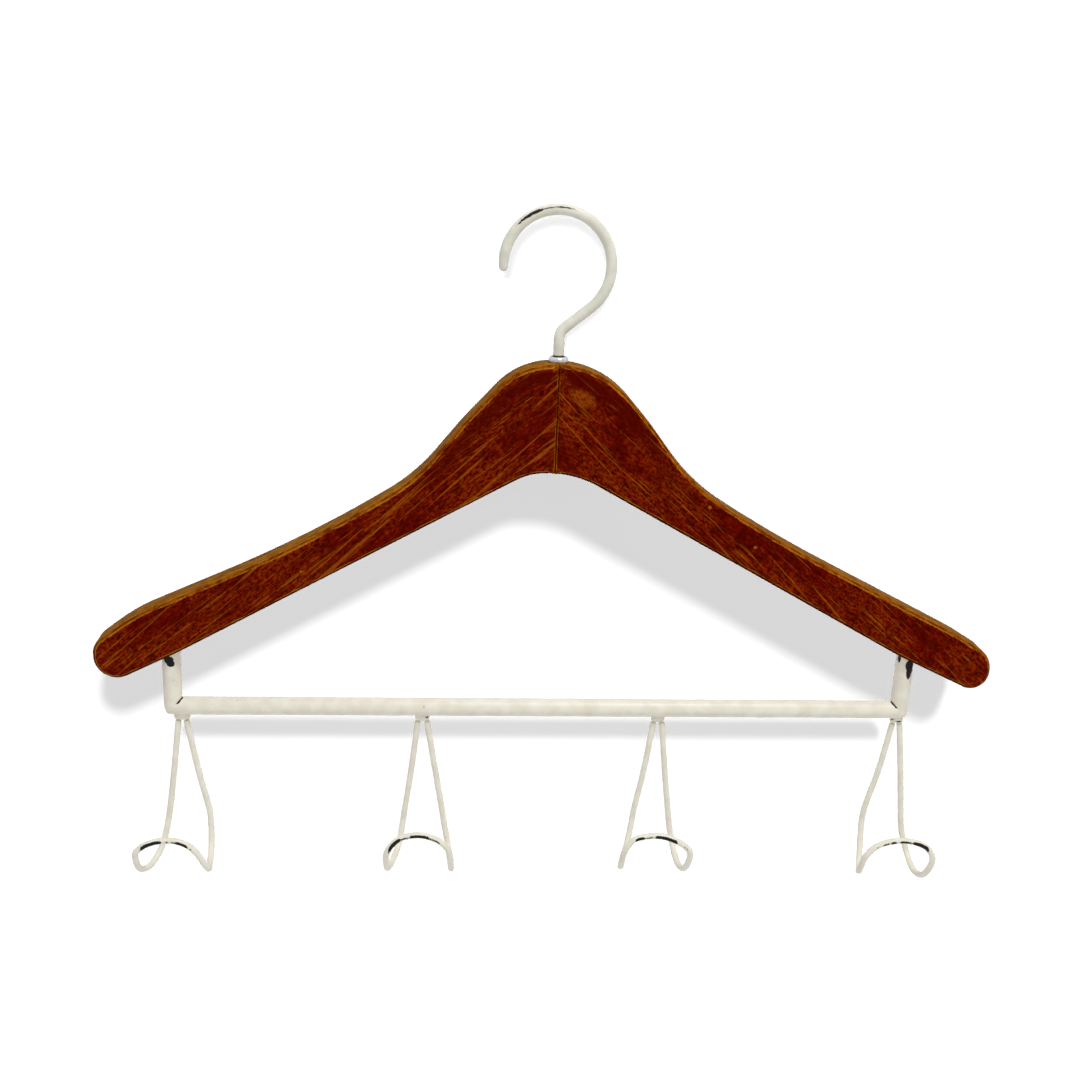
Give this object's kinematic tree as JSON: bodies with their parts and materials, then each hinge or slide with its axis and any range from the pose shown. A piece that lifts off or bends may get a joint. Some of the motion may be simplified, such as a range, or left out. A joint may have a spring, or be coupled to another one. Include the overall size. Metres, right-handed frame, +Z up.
{
  "type": "hanger-shaped coat rack",
  "caption": "Wooden coat-hanger body with a swivelling wire hook and a welded tube frame below that carries forward-facing wire coat hooks.",
  "frame": {"origin": "on the swivel axis, at the height of the inside crest of the top hook", "axes": "+X along the rail to the right, -Y to the front where the coat hooks point, +Z up along the swivel axis"},
  "size_m": [0.4414, 0.0408, 0.3306],
  "materials": {
    "stained_wood": "worn dark red stain under satin varnish",
    "dowel_wood": "bare beech",
    "cream_paint": "chipped cream enamel on steel",
    "zinc_plate": "bright zinc",
    "bare_steel": "plain steel"
  },
  "bodies": {
    "rack": {"arm_left": "stained_wood", "arm_right": "stained_wood", "crown_dowel_upper": "dowel_wood", "crown_dowel_lower": "dowel_wood", "hook_ferrule": "zinc_plate", "hook_washer": "bare_steel", "rail_tube": "cream_paint", "post_left": "cream_paint", "post_right": "cream_paint", "post_screw_left": "bare_steel", "post_screw_right": "bare_steel", "hook_weld_1": "cream_paint", "hook_weld_2": "cream_paint", "hook_weld_3": "cream_paint", "hook_weld_4": "cream_paint", "coat_hook_1": "cream_paint", "coat_hook_2": "cream_paint", "coat_hook_3": "cream_paint", "coat_hook_4": "cream_paint"},
    "hook": {"swivel_hook": "cream_paint", "hook_nut": "bare_steel"}
  },
  "joints": [
    {"name": "hook_swivel", "type": "hinge", "parent": "rack", "child": "hook", "pos_m": [0, 0, -0.07], "axis": [0, 0, 1], "continuous": true}
  ]
}
